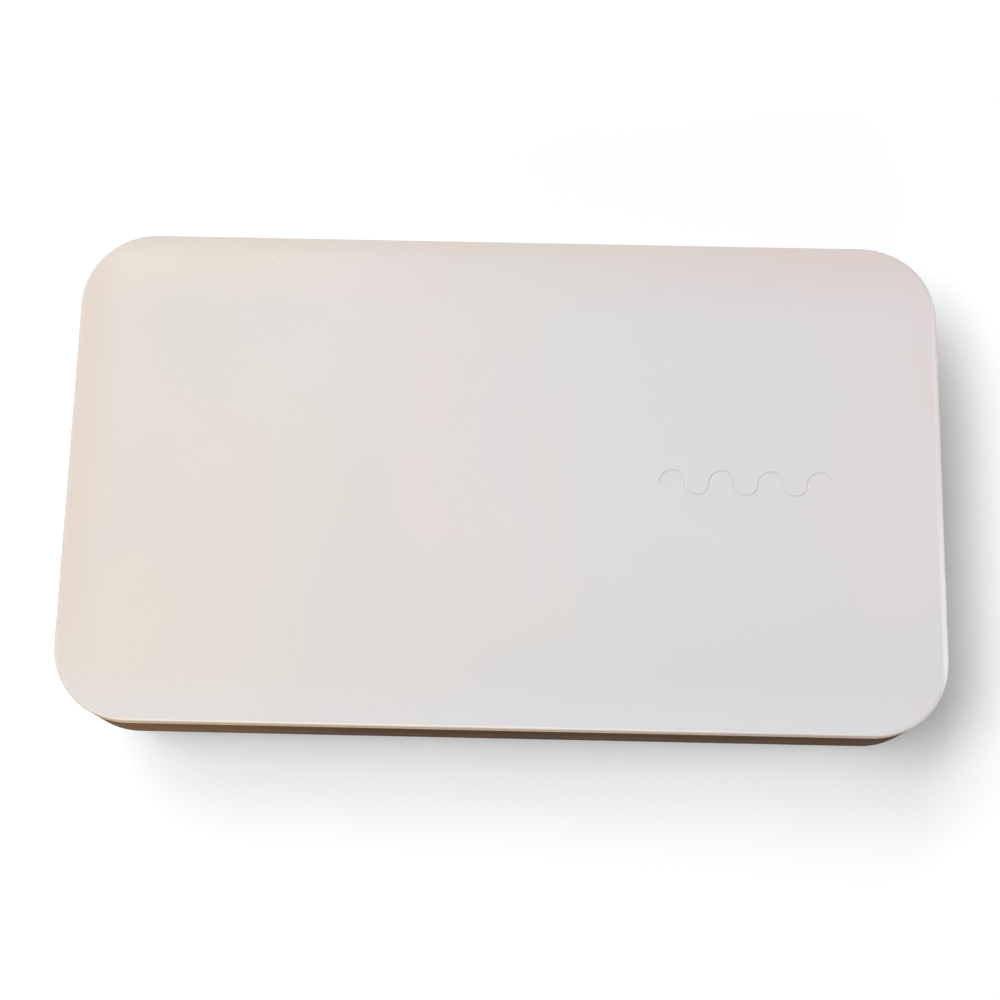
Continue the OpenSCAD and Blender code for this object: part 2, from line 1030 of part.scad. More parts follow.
module hinge_tube() {
    color(steel)
        difference() {
            axis_rod(barrel_l / 2 - pin_in + 0.2, pocket_l / 2 + pin_out - 0.6, pin_r);
            axis_rod(0, boss_x, lead_hole_r);
        }
}

module base_leads() {
    end_x = board_w / 2 - 4;
    top_z = board_z + board_t + lead_r + 0.1;
    color(dark) {
        union() {
            axis_rod(barrel_l / 2 - pin_in + 0.15, lead_turn_x, lead_r);
            translate([lead_turn_x, axis_y, axis_z])
                sphere(r = lead_r);
            rod_y([lead_turn_x, lead_drop_y, axis_z], axis_y - lead_drop_y, lead_r);
            translate([lead_turn_x, lead_drop_y, axis_z])
                sphere(r = lead_r);
            rod_up([lead_turn_x, lead_drop_y, top_z], axis_z - top_z, lead_r);
            translate([lead_turn_x, lead_drop_y, top_z])
                sphere(r = lead_r);
            translate([end_x, lead_drop_y, top_z])
                rotate([0, 90, 0])
                    cylinder(h = lead_turn_x - end_x, r = lead_r);
        }
        union() {
            rod_up([switch_lead_x, switch_lead_y, switch_lead_z], switch_lead_l, lead_r);
            translate([switch_lead_x, switch_lead_y, switch_lead_z])
                sphere(r = lead_r);
            rod_y(
                [switch_lead_x, switch_lead_y, switch_lead_z],
                board_y - board_d / 2 + 3 - switch_lead_y,
                lead_r
            );
        }
    }
}

module feet() {
    color(dark)
        for (sx = [-1, 1])
            for (sy = [-1, 1])
                translate([sx * foot_x, sy * foot_y, 0]) {
                    cylinder(h = foot_bevel, r1 = foot_r - foot_bevel, r2 = foot_r);
                    translate([0, 0, foot_bevel])
                        cylinder(h = foot_h + foot_in - foot_bevel, r = foot_r);
                }
}

module rating_label() {
    color(pale)
        slab(label_w, label_d, 2, foot_h, foot_h + label_t);
}

// Button

module power_button() {
    color(white)
        front_frame()
            difference() {
                union() {
                    translate([0, 0, -button_proud])
                        rotate_extrude() {
                            square([button_r - button_rim, button_skirt_z]);
                            translate([0, button_rim])
                                square([button_r, button_skirt_z + button_proud - button_rim]);
                            translate([button_r - button_rim, button_rim])
                                circle(r = button_rim);
                        }
                    rod_up([0, 0, button_skirt_z], button_skirt_t, button_skirt_r);
                    rod_up([0, 0, button_skirt_z], stem_z - button_skirt_z, stem_r);
                }
                translate([0, 0, mark_depth - button_proud - 1])
                    power_mark(1);
            }
}

// a broken ring with a short bar through the break
module power_mark(h) {
    difference() {
        cylinder(h = h, r = mark_r);
        translate([0, 0, -1])
            cylinder(h = h + 2, r = mark_r - mark_w);
        translate([-mark_w * 1.6, -mark_r - 1, -1])
            cube([mark_w * 3.2, mark_r + 1, h + 2]);
    }
    translate([-mark_w / 2, -mark_r - 0.4, 0])
        cube([mark_w, mark_r, h]);
}

module button_plunger() {
    color(amber)
        front_frame()
            rod_up([0, 0, stem_z], plunger_l, plunger_r);
}

lid_cover();
lid_band();
lid_hinge_arm();
lid_frame();
lid_seal();
lid_liner();
lid_lenses();
lid_lamps();
lid_lamp_board();
lid_magnets();
lid_sensor_magnet();
lid_screws();
lid_lead();
base_shell();
base_band();
base_deck();
chamber_tray();
phone_rack();
base_lenses();
base_lamps();
base_lamp_board();
main_board();
board_chips();
usb_socket();
usb_tongue();
button_switch();
switch_board();
status_light();
lid_sensor();
catch_plates();
bumper_pads();
deck_screws();
hinge_pin();
hinge_tube();
base_leads();
feet();
rating_label();
power_button();
button_plunger();
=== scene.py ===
import math

import bmesh
import bpy
from mathutils import Matrix, Vector


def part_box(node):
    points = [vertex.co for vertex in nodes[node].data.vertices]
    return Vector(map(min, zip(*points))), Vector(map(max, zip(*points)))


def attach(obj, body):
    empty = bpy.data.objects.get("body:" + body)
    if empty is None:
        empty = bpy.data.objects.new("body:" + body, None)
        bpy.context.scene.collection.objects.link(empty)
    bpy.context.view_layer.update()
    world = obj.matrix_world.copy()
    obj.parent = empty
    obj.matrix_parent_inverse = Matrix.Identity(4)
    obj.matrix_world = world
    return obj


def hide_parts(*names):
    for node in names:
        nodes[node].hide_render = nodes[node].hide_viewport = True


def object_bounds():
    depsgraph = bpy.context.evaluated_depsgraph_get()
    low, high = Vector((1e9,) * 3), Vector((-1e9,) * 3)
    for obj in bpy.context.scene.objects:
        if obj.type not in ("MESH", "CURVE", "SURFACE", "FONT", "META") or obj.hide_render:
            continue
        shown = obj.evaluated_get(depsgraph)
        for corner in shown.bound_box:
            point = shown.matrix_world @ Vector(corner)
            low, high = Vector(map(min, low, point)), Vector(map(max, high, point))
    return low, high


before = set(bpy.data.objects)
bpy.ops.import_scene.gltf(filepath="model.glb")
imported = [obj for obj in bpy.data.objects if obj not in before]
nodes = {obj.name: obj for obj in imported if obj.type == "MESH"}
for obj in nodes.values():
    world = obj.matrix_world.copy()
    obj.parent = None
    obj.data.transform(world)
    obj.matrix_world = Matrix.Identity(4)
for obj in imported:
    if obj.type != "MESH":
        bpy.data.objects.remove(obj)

cad_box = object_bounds()

MM = 0.001
TOP_Z = cad_box[1][2]
HALF_W = cad_box[1][0]
HALF_D = cad_box[1][1]

# Middle and slant of the soft bands of painted reflection tint on the lid
BAND_X = 38 * MM
BAND_Y = -21 * MM
BAND_SLANT = 0.3

# Middle and radius of a paler patch of painted reflection on the left of the lid
PALE_X = -52 * MM
PALE_Y = 34 * MM
PALE_R = 45 * MM

# Places and radius of a few small moulding marks on the lid's face
LID_MARKS = [
    (-63.4 * MM, 57.9 * MM),
    (-32.5 * MM, -61.0 * MM),
    (38.5 * MM, 51.8 * MM),
    (63.2 * MM, 41.4 * MM),
    (-101.4 * MM, -4.7 * MM),
]
MARK_R = 0.6 * MM

# Side of a lamp's package
LAMP_SIZE = 3.5 * MM

# The floor's half width, and where it turns plain white for the camera
FLOOR_REACH = 3.0
FADE_START = 0.2
FADE_END = 0.5

# Colours of the floor, as it lights the part and as the camera sees it
FLOOR_LIT = (0.8, 0.8, 0.8, 1.0)
FLOOR_SEEN = (1.078, 1.088, 1.099, 1.0)

WHITE = (1.0, 1.0, 1.0, 1.0)
BLACK = (0.0, 0.0, 0.0, 1.0)

# Strength of the surroundings' light, where 1 is full light
SURROUNDINGS = 0.195

CAMERA_LENS = 66.20235
CAMERA_SENSOR = 36
CAMERA_CLIP = 10 * MM
CAMERA_PLACE = (0.0028527, -0.1194546, 0.5074682)
CAMERA_TURN = (0.239974, 0.003069, 0.021635)

# Colour sockets of the mix node
MIX_A = 6
MIX_B = 7
MIX_RESULT = 2


def srgb(red, green, blue):
    """A linear colour from the 8-bit levels of a screen colour."""
    def linear(level):
        value = level / 255
        return value / 12.92 if value <= 0.04045 else ((value + 0.055) / 1.055) ** 2.4
    return (linear(red), linear(green), linear(blue), 1.0)


# Node graphs

class Graph:
    """The node tree of a material or of the world, emptied first."""

    def __init__(self, tree, output):
        self.tree = tree
        tree.nodes.clear()
        self.surface = self.add(output).inputs["Surface"]

    def put(self, socket, value):
        """Joins a socket to another node's output, or sets its value."""
        if isinstance(value, bpy.types.NodeSocket):
            self.tree.links.new(value, socket)
        else:
            socket.default_value = value

    def add(self, kind, inputs=None, **settings):
        node = self.tree.nodes.new("ShaderNode" + kind)
        for key, value in settings.items():
            setattr(node, key, value)
        for key, value in (inputs or {}).items():
            self.put(node.inputs[key], value)
        return node

    def calc(self, kind, first, second=None):
        node = self.add("Math", {0: first}, operation=kind)
        if second is not None:
            self.put(node.inputs[1], second)
        return node.outputs[0]

    def times(self, first, second):
        return self.calc("MULTIPLY", first, second)

    def span(self, value, low, high, to_low=0.0, to_high=1.0, smooth=True):
        """Maps low to to_low and high to to_high, and holds both beyond."""
        inputs = {
            "Value": value,
            "From Min": low,
            "From Max": high,
            "To Min": to_low,
            "To Max": to_high,
        }
        kind = "SMOOTHSTEP" if smooth else "LINEAR"
        return self.add("MapRange", inputs, interpolation_type=kind).outputs[0]

    def blend(self, factor, first, second):
        """A mix of two shaders."""
        return self.add("MixShader", {0: factor, 1: first, 2: second}).outputs[0]

    def seen_directly(self):
        """One for camera, glossy and transmission rays, else zero."""
        rays = self.add("LightPath").outputs
        shiny = self.calc("MAXIMUM", rays["Is Glossy Ray"], rays["Is Transmission Ray"])
        return self.calc("MAXIMUM", rays["Is Camera Ray"], shiny)


class Finish(Graph):
    """One material. Its patterns lie in the piece's own space, in metres."""

    def __init__(self, name):
        self.material = bpy.data.materials.new(name)
        self.material.use_nodes = True
        super().__init__(self.material.node_tree, "OutputMaterial")
        self.shader = self.add("BsdfPrincipled")
        self.put(self.surface, self.shader.outputs[0])
        self.place = self.add("TexCoord").outputs["Object"]
        self.x, self.y, self.z = self.add("SeparateXYZ", {"Vector": self.place}).outputs

    def stretched(self, x, y, z):
        """The piece's space scaled along each axis."""
        return self.add("Mapping", {"Vector": self.place, "Scale": (x, y, z)}).outputs[0]

    def noise(self, scale, detail=2.0, rough=0.5, warp=0.0, vector=None):
        inputs = {
            "Vector": vector or self.place,
            "Scale": scale,
            "Detail": detail,
            "Roughness": rough,
            "Distortion": warp,
        }
        return self.add("TexNoise", inputs).outputs["Fac"]

    def cells(self, scale):
        """Distance to the nearest of many scattered points."""
        inputs = {"Vector": self.place, "Scale": scale}
        return self.add("TexVoronoi", inputs).outputs["Distance"]

    def bricks(self, scale, gap, first, second, line):
        """Blocks of two colours with lines of a third between them."""
        inputs = {
            "Vector": self.place,
            "Scale": scale,
            "Mortar Size": gap,
            "Color1": first,
            "Color2": second,
            "Mortar": line,
        }
        return self.add("TexBrick", inputs).outputs["Color"]

    def mix(self, factor, first, second, blend="MIX"):
        node = self.add("Mix", data_type="RGBA", blend_type=blend)
        self.put(node.inputs[0], factor)
        self.put(node.inputs[MIX_A], first)
        self.put(node.inputs[MIX_B], second)
        return node.outputs[MIX_RESULT]

    def ramp(self, factor, *stops):
        node = self.add("ValToRGB", {"Fac": factor})
        points = node.color_ramp.elements
        while len(points) < len(stops):
            points.new(0.5)
        for point, (at, colour) in zip(points, stops):
            point.position = at
            point.color = colour
        return node.outputs["Color"]

    def spot(self, centre, radius):
        """One at a point of the piece, falling to zero a radius away."""
        inputs = {0: self.place, 1: centre}
        away = self.add("VectorMath", inputs, operation="DISTANCE").outputs["Value"]
        return self.span(away, radius, 0.0)

    def bump(self, height, depth, strength=1.0, below=None):
        inputs = {"Height": height, "Distance": depth, "Strength": strength}
        if below is not None:
            inputs["Normal"] = below
        return self.add("Bump", inputs).outputs["Normal"]

    def finish(self, **values):
        """Sets the shader's sockets and gives the material."""
        for key, value in values.items():
            self.put(self.shader.inputs[key.replace("_", " ")], value)
        return self.material


# Materials of the lid's cover

def lid_reflection_bands(f):
    """Painted reflection tints: slanting bands of ochre, olive, rose and grey, from left to
    right, greyer towards the front."""
    # The slanting bands are painted reflection tints on the white lid
    slanted = f.calc("ADD", f.calc("SUBTRACT", f.x, BAND_X),
                     f.times(f.calc("SUBTRACT", f.y, BAND_Y), BAND_SLANT))
    cloud = f.span(f.noise(9.0, 3.0, 0.5, 0.6), 0.3, 0.7, -16 * MM, 16 * MM)
    across = f.calc("ADD", slanted, cloud)
    colour = f.ramp(
        f.span(across, -160 * MM, 120 * MM, smooth=False),
        (0.04, srgb(229, 220, 210)),
        (0.15, srgb(228, 221, 212)),
        (0.23, srgb(225, 220, 213)),
        (0.29, srgb(224, 219, 214)),
        (0.34, srgb(226, 219, 218)),
        (0.43, srgb(226, 219, 219)),
        (0.5, srgb(223, 220, 219)),
        (0.58, srgb(221, 219, 220)),
        (0.72, srgb(221, 218, 220)),
        (0.82, srgb(223, 218, 220)),
        (0.94, srgb(224, 218, 221)),
    )
    # Painted reflection: greyer towards the front
    greyer = f.times(f.span(f.y, -12 * MM, -50 * MM, 0.0, 0.75),
                     f.span(across, -130 * MM, -45 * MM))
    colour = f.mix(greyer, colour, srgb(218, 217, 215))
    olive = f.span(f.noise(19.0, 1.0, 0.5, 0.4), 0.5, 0.66, 0.0, 0.2)
    return f.mix(olive, colour, srgb(221, 221, 213))


def lid_reflection_patches(f, colour):
    """Painted reflection tints: a cool patch in front, a paler one on the left, a pale front strip.
    """
    # Painted reflection: cool in front, paler on the left, pale along the front
    cool = f.times(f.span(f.y, -36 * MM, -58 * MM, 0.0, 0.45),
                   f.span(f.x, -30 * MM, 40 * MM))
    colour = f.mix(cool, colour, srgb(214, 215, 221))
    pale = f.times(f.spot((PALE_X, PALE_Y, TOP_Z), PALE_R), 0.4)
    colour = f.mix(pale, colour, srgb(231, 226, 222))
    strip = f.span(f.y, -50 * MM, -63 * MM, 0.0, 0.45)
    return f.mix(strip, colour, srgb(225, 223, 226))


def lid_edge_light_tints(f, colour):
    """Tints along the edges: the far one is a painted reflection, ochre on the left, and
    wider and rosier towards the right. The left one is painted shade in ochre, the right
    one has rosy patches of painted reflection."""
    from_far = f.calc("SUBTRACT", HALF_D, f.y)
    # Painted reflection along the far edge, with a darker line right at the edge
    far_left_reflection = f.times(f.span(from_far, 22 * MM, 6 * MM),
                       f.span(f.x, -20 * MM, -70 * MM, 0.0, 0.7))
    colour = f.mix(far_left_reflection, colour, srgb(235, 225, 212))
    far_edge_reflection = f.span(from_far, 8 * MM, 1 * MM, 0.0, 0.6)
    colour = f.mix(far_edge_reflection, colour, srgb(222, 209, 197))
    far_right_reflection = f.times(f.span(from_far, 24 * MM, 4 * MM),
                        f.span(f.x, -60 * MM, HALF_W - 10 * MM, 0.0, 0.7))
    colour = f.mix(far_right_reflection, colour, srgb(222, 207, 204))
    # Painted shade along the left edge, in ochre
    left = f.times(f.span(f.x, -HALF_W + 12 * MM, -HALF_W + 1 * MM, 0.0, 0.7),
                   f.span(f.y, -55 * MM, -30 * MM, 0.25, 1.0))
    colour = f.mix(left, colour, srgb(227, 211, 200))
    # Rosy patches of painted reflection near the right edge
    right = f.times(f.span(f.x, HALF_W - 12 * MM, HALF_W - 2 * MM),
                    f.span(f.noise(26.0, 1.0), 0.45, 0.6, 0.0, 0.5))
    return f.mix(right, colour, srgb(228, 207, 202))


def lid_rounding(f):
    """One on the rounded rim of the lid's top, zero on its flat face."""
    outer = f.calc("MAXIMUM",
                   f.span(f.calc("ABSOLUTE", f.x), HALF_W - 12 * MM, HALF_W - 10 * MM),
                   f.span(f.calc("ABSOLUTE", f.y), HALF_D - 12 * MM, HALF_D - 10 * MM))
    return f.times(f.span(f.z, TOP_Z - 0.03 * MM, TOP_Z - 0.15 * MM), outer)


def lid_rim_highlight_and_shade(f, colour, rounding, below):
    """Painted highlight: a light line on the rounding, warm in front and white on the right.
    The edge below it carries painted shade, beige in front and pale at both ends."""
    along = f.span(f.x, -90 * MM, 100 * MM, smooth=False)
    front_highlight_zone = f.times(f.span(f.y, -HALF_D + 16 * MM, -HALF_D + 3 * MM),
                   f.span(f.x, -HALF_W + 4 * MM, -HALF_W + 15 * MM))
    side = f.span(f.x, HALF_W - 4 * MM, HALF_W - 1 * MM)
    highlight_strength = f.span(f.y, 25 * MM, -50 * MM, 0.35, 1.0)
    # Painted highlight colours on the rounding: warm in front, white on the right side
    line = f.mix(along, srgb(249, 237, 225), srgb(229, 224, 222))
    line = f.mix(f.times(side, highlight_strength), line, srgb(251, 249, 250))
    # Painted highlight on the flat just inside the right edge, stronger towards the front
    right_highlight = f.span(f.x, HALF_W - 2 * MM, HALF_W - 1.1 * MM)
    colour = f.mix(f.times(right_highlight, highlight_strength), colour, srgb(238, 235, 236))
    colour = f.mix(f.times(rounding, f.calc("MAXIMUM", front_highlight_zone, side)), colour, line)
    # Painted shade on the edge below the rounding: beige in front, paler at both ends
    edge = f.mix(along, srgb(203, 170, 128), srgb(197, 172, 152))
    edge = f.mix(f.span(f.x, HALF_W - 14 * MM, HALF_W - 7 * MM), edge, srgb(240, 236, 235))
    edge = f.mix(f.span(f.x, -HALF_W + 12 * MM, -HALF_W + 4 * MM), edge, srgb(214, 205, 195))
    return f.mix(below, colour, edge)


def lid_marks(f):
    """One in the middle of each moulding mark, zero round them."""
    marks = 0.0
    for mark_x, mark_y in LID_MARKS:
        marks = f.calc("MAXIMUM", f.spot((mark_x, mark_y, TOP_Z), MARK_R), marks)
    return marks


def lid_white():
    """Warm white moulded plastic with soft tints of painted reflection and shade, a painted
    highlight and painted shade on the rim, dust and small marks."""
    f = Finish("lid_white")
    rounding = lid_rounding(f)
    below = f.span(f.z, TOP_Z - 0.2 * MM, TOP_Z - 0.9 * MM)
    marks = lid_marks(f)
    colour = lid_edge_light_tints(f, lid_reflection_patches(f, lid_reflection_bands(f)))
    colour = lid_rim_highlight_and_shade(f, colour, rounding, below)
    dust = f.times(f.span(f.cells(160.0), 0.055, 0.03),
                   f.span(f.noise(40.0, 1.0), 0.55, 0.7, 0.0, 0.3))
    colour = f.mix(dust, colour, srgb(186, 180, 174))
    colour = f.mix(f.times(marks, 0.12), colour, srgb(180, 170, 160))
    normal = f.bump(f.noise(38.0, 2.0, 0.5), 0.06 * MM)
    normal = f.bump(f.noise(2600.0, 2.0, 0.6), 0.012 * MM, 0.8, normal)
    normal = f.bump(marks, 0.1 * MM, 1.0, normal)
    rough = f.span(f.noise(55.0, 4.0, 0.6), 0.3, 0.7, 0.5, 0.6)
    rough = f.times(rough, f.span(rounding, 0.0, 1.0, 1.0, 0.45))
    gloss = f.span(rounding, 0.0, 1.0, 0.3, 0.7)
    gloss = f.times(gloss, f.span(below, 0.0, 1.0, 1.0, 0.1))
    return f.finish(Base_Color=colour, Roughness=rough, Normal=normal,
                    Specular_IOR_Level=gloss)


# Materials of the case

def shell_white():
    """White moulded plastic with a fine grain, darker and browner in patches low down."""
    f = Finish("shell_white")
    cloud = f.span(f.noise(12.0, 3.0, 0.55, 0.5), 0.3, 0.7)
    colour = f.mix(cloud, srgb(222, 219, 215), srgb(216, 214, 213))
    # Darker and browner in patches towards the bottom
    low = f.span(f.z, 12 * MM, 1 * MM)
    scuffs = f.noise(90.0, 4.0, 0.65, vector=f.stretched(1, 1, 2.6))
    low_darkening = f.times(low, f.span(scuffs, 0.45, 0.7, 0.0, 0.3))
    colour = f.mix(low_darkening, colour, srgb(190, 183, 174))
    normal = f.bump(f.noise(32.0, 2.0), 0.08 * MM)
    normal = f.bump(f.noise(1500.0, 3.0, 0.65), 0.02 * MM, 0.9, normal)
    rough = f.span(f.noise(70.0, 4.0, 0.6), 0.3, 0.7, 0.42, 0.56)
    return f.finish(Base_Color=colour, Roughness=rough, Normal=normal, IOR=1.48)


def band_brown(name, golden, greyed, rough_low):
    """Brown satin finish with fine flakes. The brown is painted shade with a painted warm
    reflection, more golden on the left.
    """
    f = Finish(name)
    # Painted shade and warm reflection: golden on the left, greyer on the right
    colour = f.mix(f.span(f.x, -HALF_W, -20 * MM), golden, greyed)
    cloud = f.span(f.noise(40.0, 3.0, 0.55, 0.5), 0.35, 0.7, 0.0, 0.3)
    colour = f.mix(cloud, colour, f.mix(0.5, colour, srgb(60, 40, 28), "MULTIPLY"))
    glint = f.span(f.cells(4200.0), 0.24, 0.06, 0.0, 0.3)
    colour = f.mix(glint, colour, srgb(172, 142, 108))
    rubbed = f.span(f.noise(210.0, 4.0, 0.7), 0.6, 0.74, 0.0, 0.14)
    colour = f.mix(rubbed, colour, srgb(150, 128, 104))
    rough = f.span(f.noise(60.0, 4.0, 0.6), 0.3, 0.7, rough_low, rough_low + 0.12)
    rough = f.calc("ADD", rough, rubbed)
    normal = f.bump(f.noise(2200.0, 2.0, 0.6), 0.01 * MM)
    normal = f.bump(f.noise(45.0, 2.0), 0.05 * MM, 1.0, normal)
    return f.finish(Base_Color=colour, Roughness=rough, Normal=normal,
                    Specular_IOR_Level=0.0)


def inner_white():
    """Matt white plastic of the inner faces, spark-textured by its mould."""
    f = Finish("inner_white")
    cloud = f.span(f.noise(16.0, 3.0), 0.3, 0.7)
    colour = f.mix(cloud, srgb(214, 212, 208), srgb(206, 205, 203))
    pits = f.cells(1300.0)
    colour = f.mix(f.span(pits, 0.5, 0.1, 0.0, 0.12), colour, srgb(170, 166, 160))
    normal = f.bump(pits, 0.03 * MM, 0.8)
    normal = f.bump(f.noise(30.0, 2.0), 0.06 * MM, 1.0, normal)
    rough = f.span(f.noise(80.0, 3.0), 0.3, 0.7, 0.55, 0.68)
    return f.finish(Base_Color=colour, Roughness=rough, Normal=normal)


def bright_sheet():
    """Bright rolled aluminium with fine lines along the sheet."""
    f = Finish("bright_sheet")
    lines = f.noise(900.0, 4.0, 0.7, vector=f.stretched(0.03, 1, 1))
    broad = f.noise(60.0, 3.0, 0.5, vector=f.stretched(0.15, 1, 1))
    colour = f.mix(f.span(broad, 0.3, 0.7), srgb(218, 220, 223), srgb(196, 198, 202))
    prints = f.span(f.noise(48.0, 5.0, 0.7, 1.2), 0.5, 0.72)
    colour = f.mix(f.times(prints, 0.2), colour, srgb(180, 180, 178))
    rough = f.span(lines, 0.25, 0.75, 0.16, 0.34)
    rough = f.calc("ADD", rough, f.times(prints, 0.1))
    normal = f.bump(lines, 0.008 * MM, 0.7)
    normal = f.bump(f.noise(24.0, 2.0), 0.15 * MM, 1.0, normal)
    return f.finish(Base_Color=colour, Roughness=rough, Normal=normal, Metallic=1.0)


# Materials of the small parts

def dark_rubber():
    """Matt black moulded rubber with pale dust in its pores."""
    f = Finish("dark_rubber")
    cloud = f.span(f.noise(140.0, 4.0, 0.6), 0.35, 0.7)
    colour = f.mix(cloud, srgb(38, 38, 40), srgb(56, 55, 55))
    dust = f.span(f.noise(900.0, 3.0, 0.7), 0.6, 0.72, 0.0, 0.4)
    colour = f.mix(dust, colour, srgb(120, 116, 110))
    rough = f.span(f.noise(300.0, 3.0), 0.3, 0.7, 0.66, 0.86)
    normal = f.bump(f.noise(1800.0, 3.0, 0.6), 0.03 * MM, 0.8)
    return f.finish(Base_Color=colour, Roughness=rough, Normal=normal)


def dark_sleeve():
    """Black vinyl insulation, soft gloss with faint extrusion lines."""
    f = Finish("dark_sleeve")
    cloud = f.span(f.noise(220.0, 3.0), 0.3, 0.7)
    colour = f.mix(cloud, srgb(30, 30, 32), srgb(44, 44, 46))
    rough = f.span(f.noise(600.0, 3.0), 0.3, 0.7, 0.38, 0.52)
    normal = f.bump(f.noise(2400.0, 2.0, vector=f.stretched(0.2, 1, 1)), 0.01 * MM)
    return f.finish(Base_Color=colour, Roughness=rough, Normal=normal)


def clear_window():
    """Clear quartz window with faint haze."""
    f = Finish("clear_window")
    haze = f.noise(420.0, 4.0, 0.65)
    colour = f.mix(f.span(haze, 0.35, 0.7), srgb(246, 250, 252), srgb(228, 236, 241))
    rough = f.span(haze, 0.4, 0.75, 0.01, 0.09)
    normal = f.bump(f.noise(160.0, 2.0), 0.02 * MM, 0.5)
    return f.finish(Base_Color=colour, Roughness=rough, Normal=normal,
                    Transmission_Weight=1.0, IOR=1.46)


def lamp_ceramic():
    """Pale fired ceramic of a lamp package."""
    f = Finish("lamp_ceramic")
    speck = f.span(f.noise(2600.0, 3.0, 0.7), 0.4, 0.65)
    colour = f.mix(speck, srgb(232, 228, 214), srgb(212, 206, 190))
    rough = f.span(f.noise(900.0, 3.0), 0.3, 0.7, 0.5, 0.68)
    normal = f.bump(f.noise(3200.0, 2.0), 0.008 * MM)
    return f.finish(Base_Color=colour, Roughness=rough, Normal=normal)


def lamp_gold():
    """Gold plate of a lamp's cup and of the contacts, slightly worn."""
    f = Finish("lamp_gold")
    worn = f.span(f.noise(1400.0, 4.0, 0.6), 0.45, 0.7)
    colour = f.mix(worn, srgb(222, 182, 104), srgb(196, 160, 96))
    rough = f.span(worn, 0.0, 1.0, 0.2, 0.38)
    return f.finish(Base_Color=colour, Roughness=rough, Metallic=1.0)


def lamp_chip():
    """The lamp's light-giving chip, violet grey with a fine grid."""
    f = Finish("lamp_chip")
    colour = f.bricks(4200.0, 0.08, srgb(92, 84, 132), srgb(82, 78, 124), srgb(190, 176, 120))
    rough = f.span(f.noise(2500.0, 2.0), 0.3, 0.7, 0.14, 0.3)
    return f.finish(Base_Color=colour, Roughness=rough, Metallic=0.4)


def board_mask(name, mask, copper):
    """Lacquered circuit board with copper tracks showing through."""
    f = Finish(name)
    tracks = f.bricks(120.0, 0.07, BLACK, BLACK, WHITE)
    colour = f.mix(tracks, mask, copper)
    pads = f.span(f.cells(240.0), 0.16, 0.12, 0.0, 0.7)
    colour = f.mix(pads, colour, srgb(196, 192, 180))
    weave = f.noise(1500.0, 2.0, vector=f.stretched(1, 0.3, 1))
    colour = f.mix(f.span(weave, 0.4, 0.7, 0.0, 0.2), colour, srgb(30, 40, 30))
    normal = f.bump(tracks, 0.03 * MM)
    rough = f.span(f.noise(300.0, 3.0), 0.3, 0.7, 0.26, 0.42)
    return f.finish(Base_Color=colour, Roughness=rough, Normal=normal)


def dark_plastic():
    """Dark moulded epoxy and nylon of chips, switch and sensor."""
    f = Finish("dark_plastic")
    cloud = f.span(f.noise(400.0, 4.0, 0.6), 0.35, 0.7)
    colour = f.mix(cloud, srgb(34, 34, 37), srgb(52, 52, 55))
    rough = f.span(f.noise(900.0, 3.0), 0.3, 0.7, 0.48, 0.66)
    normal = f.bump(f.noise(2600.0, 3.0), 0.02 * MM, 0.8)
    return f.finish(Base_Color=colour, Roughness=rough, Normal=normal)


def light_pipe():
    """Frosted acrylic that carries the status light to the wall."""
    f = Finish("light_pipe")
    frost = f.noise(1600.0, 3.0, 0.6)
    colour = f.mix(f.span(frost, 0.35, 0.7), srgb(226, 234, 230), srgb(206, 216, 212))
    rough = f.span(frost, 0.3, 0.7, 0.3, 0.46)
    normal = f.bump(frost, 0.01 * MM)
    return f.finish(Base_Color=colour, Roughness=rough, Normal=normal,
                    Transmission_Weight=0.7, IOR=1.49)


def metal(name, pale, dull, rough_low, rough_high, lines):
    """Plain metal with fine lines and some tarnish. The lines follow the
    axes that are scaled down."""
    f = Finish(name)
    tarnish = f.span(f.noise(260.0, 4.0, 0.6, 0.5), 0.35, 0.7)
    colour = f.mix(tarnish, pale, dull)
    drawn = f.noise(2200.0, 3.0, 0.65, vector=f.stretched(*lines))
    rough = f.span(drawn, 0.25, 0.75, rough_low, rough_high)
    normal = f.bump(drawn, 0.006 * MM, 0.7)
    return f.finish(Base_Color=colour, Roughness=rough, Normal=normal, Metallic=1.0)


def plain_label():
    """Blank silver-white film label with a printed border."""
    f = Finish("plain_label")
    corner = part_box("rating_label")[1]
    inset = 1.8 * MM
    line = 0.35 * MM
    fibres = f.noise(1100.0, 4.0, 0.7)
    colour = f.mix(f.span(fibres, 0.35, 0.7), srgb(222, 223, 222), srgb(206, 207, 207))
    from_x = f.calc("SUBTRACT", corner.x, f.calc("ABSOLUTE", f.x))
    from_y = f.calc("SUBTRACT", corner.y, f.calc("ABSOLUTE", f.y))
    from_edge = f.calc("MINIMUM", from_x, from_y)
    off_line = f.calc("ABSOLUTE", f.calc("SUBTRACT", from_edge, inset))
    colour = f.mix(f.span(off_line, line, line / 2), colour, srgb(120, 122, 124))
    rough = f.span(fibres, 0.3, 0.7, 0.42, 0.56)
    normal = f.bump(fibres, 0.01 * MM)
    return f.finish(Base_Color=colour, Roughness=rough, Normal=normal)


# Meshes

def piece(name, data, *materials):
    """An object made of a mesh in the making, which this uses up."""
    mesh = bpy.data.meshes.new(name)
    data.to_mesh(mesh)
    data.free()
    for material in materials:
        mesh.materials.append(material)
    item = bpy.data.objects.new(name, mesh)
    bpy.context.scene.collection.objects.link(item)
    return item


def smooth(item, degrees):
    """Shades a piece smooth, apart from edges sharper than an angle."""
    limit = math.radians(degrees)
    data = bmesh.new()
    data.from_mesh(item.data)
    for face in data.faces:
        face.smooth = True
    for edge in data.edges:
        faces = edge.link_faces
        edge.smooth = len(faces) != 2 or faces[0].normal.angle(faces[1].normal, 0) <= limit
    data.to_mesh(item.data)
    data.free()


